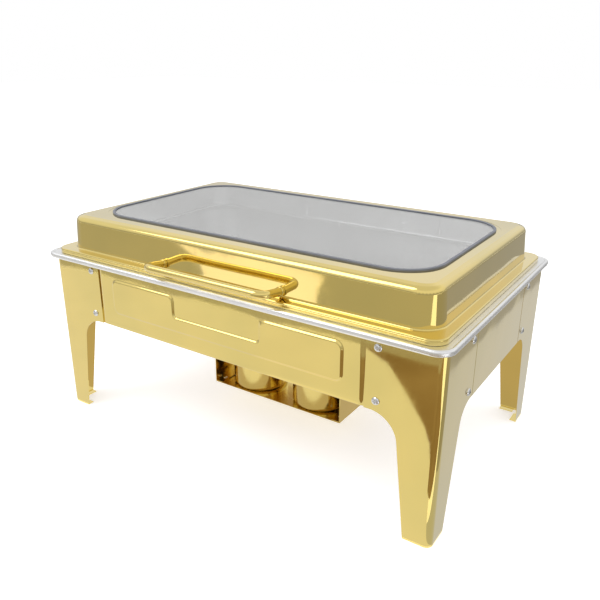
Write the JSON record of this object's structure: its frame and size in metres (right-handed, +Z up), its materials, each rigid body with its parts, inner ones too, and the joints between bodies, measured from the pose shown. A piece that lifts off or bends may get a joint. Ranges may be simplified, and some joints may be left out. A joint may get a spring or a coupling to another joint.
{
  "type": "roll top chafer",
  "caption": "Rectangular chafing dish: hinged lid with glass window and bar handle, nested pans on a knock-down sheet stand, hung burner tray with lidded fuel cups.",
  "frame": {"origin": "on the floor, under the middle of the stand", "axes": "+X along the front to the right, +Y to the rear where the lid is hinged, +Z up"},
  "size_m": [0.562, 0.3806, 0.2742],
  "materials": {
    "gold_steel": "mirror-polished gold-coloured plated sheet steel",
    "gold_fittings": "polished gold-coloured rod and collars",
    "pan_steel": "polished stainless sheet",
    "fastener_steel": "bright plated fasteners and hinges",
    "seal_rubber": "dark blue-grey silicone",
    "window_glass": "clear toughened glass"
  },
  "bodies": {
    "stand": {"leg_front_right": "gold_steel", "leg_front_left": "gold_steel", "leg_rear_right": "gold_steel", "leg_rear_left": "gold_steel", "front_apron": "gold_steel", "rear_apron": "gold_steel", "right_apron": "gold_steel", "left_apron": "gold_steel", "leg_screws": "fastener_steel", "leg_nuts": "fastener_steel", "burner_tray": "gold_steel", "tray_hanger_left": "gold_steel", "tray_rail_left": "gold_steel", "tray_hanger_right": "gold_steel", "tray_rail_right": "gold_steel", "tray_floor_rivets": "fastener_steel", "tray_rail_rivets": "fastener_steel"},
    "water_pan": {"water_pan": "pan_steel", "hinge_base_left": "fastener_steel", "hinge_base_right": "fastener_steel", "hinge_pin_left": "fastener_steel", "hinge_pin_right": "fastener_steel"},
    "lid": {"lid_shell": "gold_steel", "window_seal": "seal_rubber", "window_glass": "window_glass", "handle_rod": "gold_fittings", "handle_collars": "gold_fittings", "handle_nuts": "fastener_steel", "hinge_leaf_left": "fastener_steel", "hinge_leaf_right": "fastener_steel", "hinge_rivets": "fastener_steel"},
    "food_pan": {"food_pan": "pan_steel"},
    "fuel_holder_left": {"fuel_cup_left": "gold_steel", "cup_ring_left": "gold_steel", "cover_pivot_left": "fastener_steel"},
    "flame_cover_left": {"flame_cover_left": "gold_steel", "cover_knob_left": "gold_steel"},
    "fuel_holder_right": {"fuel_cup_right": "gold_steel", "cup_ring_right": "gold_steel", "cover_pivot_right": "fastener_steel"},
    "flame_cover_right": {"flame_cover_right": "gold_steel", "cover_knob_right": "gold_steel"}
  },
  "joints": [
    {"name": "water_pan_lift", "type": "slide", "parent": "stand", "child": "water_pan", "axis": [0, 0, 1], "range_m": [0, 0.11]},
    {"name": "lid_hinge", "type": "hinge", "parent": "water_pan", "child": "lid", "pos_m": [0, 0.18578, 0.2274], "axis": [-1, 0, 0], "range_deg": [0, 90]},
    {"name": "food_pan_lift", "type": "slide", "parent": "water_pan", "child": "food_pan", "axis": [0, 0, 1], "range_m": [0, 0.004]},
    {"name": "fuel_holder_left_slide", "type": "slide", "parent": "stand", "child": "fuel_holder_left", "axis": [0, -1, 0], "range_m": [0, 0.15]},
    {"name": "flame_cover_left_swing", "type": "hinge", "parent": "fuel_holder_left", "child": "flame_cover_left", "pos_m": [-0.05, 0.014, 0.0853], "axis": [0, 0, -1], "range_deg": [0, 120]},
    {"name": "fuel_holder_right_slide", "type": "slide", "parent": "stand", "child": "fuel_holder_right", "axis": [0, -1, 0], "range_m": [0, 0.15]},
    {"name": "flame_cover_right_swing", "type": "hinge", "parent": "fuel_holder_right", "child": "flame_cover_right", "pos_m": [0.05, 0.014, 0.0853], "axis": [0, 0, 1], "range_deg": [0, 120]}
  ]
}
